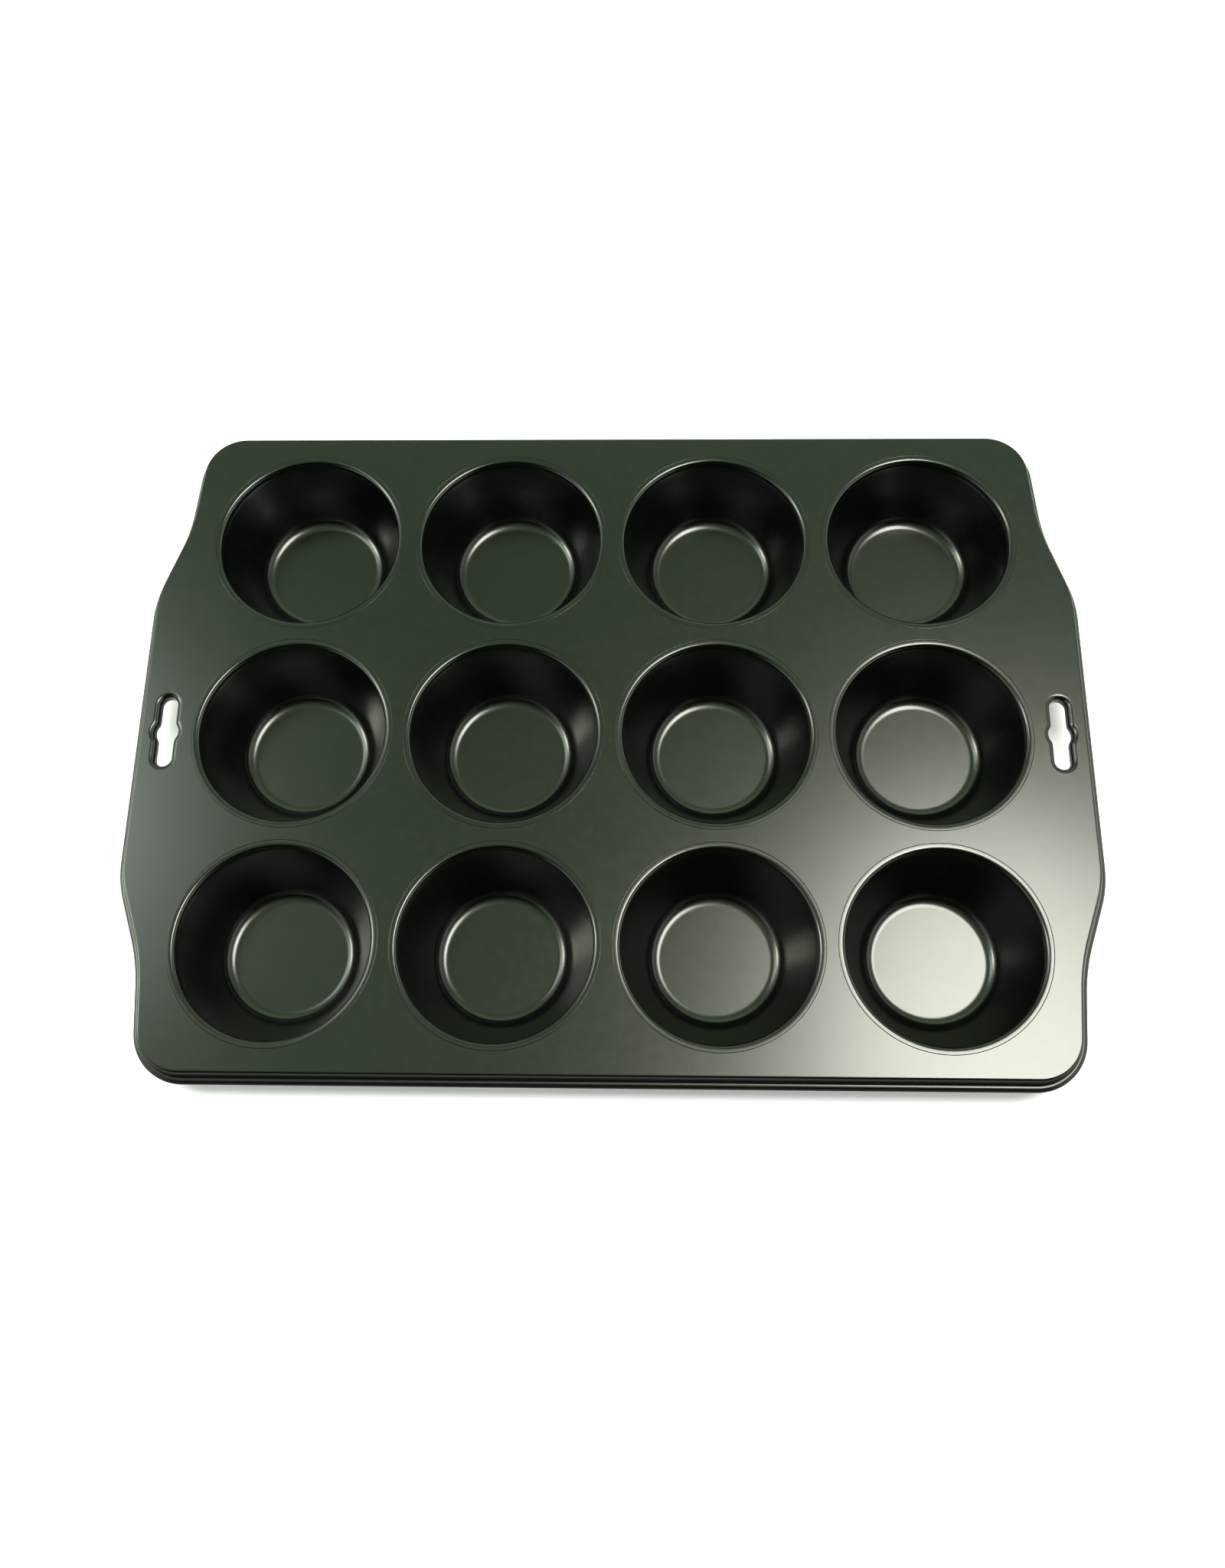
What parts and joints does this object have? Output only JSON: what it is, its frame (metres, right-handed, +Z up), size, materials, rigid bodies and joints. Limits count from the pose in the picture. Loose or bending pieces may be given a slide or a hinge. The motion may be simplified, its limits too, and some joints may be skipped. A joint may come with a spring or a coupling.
{
  "type": "muffin tin",
  "caption": "Shallow non-stick baking tin with a grid of tapered round cups, a wired rolled edge and slotted ear handles for baking muffins.",
  "frame": {"origin": "centre of the tin in plan, on the plane that the undersides of the cups stand on", "axes": "+X along the long side, through both handles; +Y to the back long side; +Z up, out of the mouths of the cups"},
  "size_m": [0.3578, 0.2568, 0.0296],
  "materials": {
    "deck_coating": "satin dark charcoal non-stick coating with a slight green tint, on pressed steel sheet",
    "cup_coating": "satin dark charcoal non-stick coating on drawn steel sheet",
    "rod_steel": "drawn steel rod, bare, hidden inside the curled edge"
  },
  "bodies": {
    "root": {"pan_deck": "deck_coating", "cup_row1_col1": "cup_coating", "cup_row1_col2": "cup_coating", "cup_row1_col3": "cup_coating", "cup_row1_col4": "cup_coating", "cup_row2_col1": "cup_coating", "cup_row2_col2": "cup_coating", "cup_row2_col3": "cup_coating", "cup_row2_col4": "cup_coating", "cup_row3_col1": "cup_coating", "cup_row3_col2": "cup_coating", "cup_row3_col3": "cup_coating", "cup_row3_col4": "cup_coating", "rim_wire": "rod_steel"}
  },
  "joints": []
}
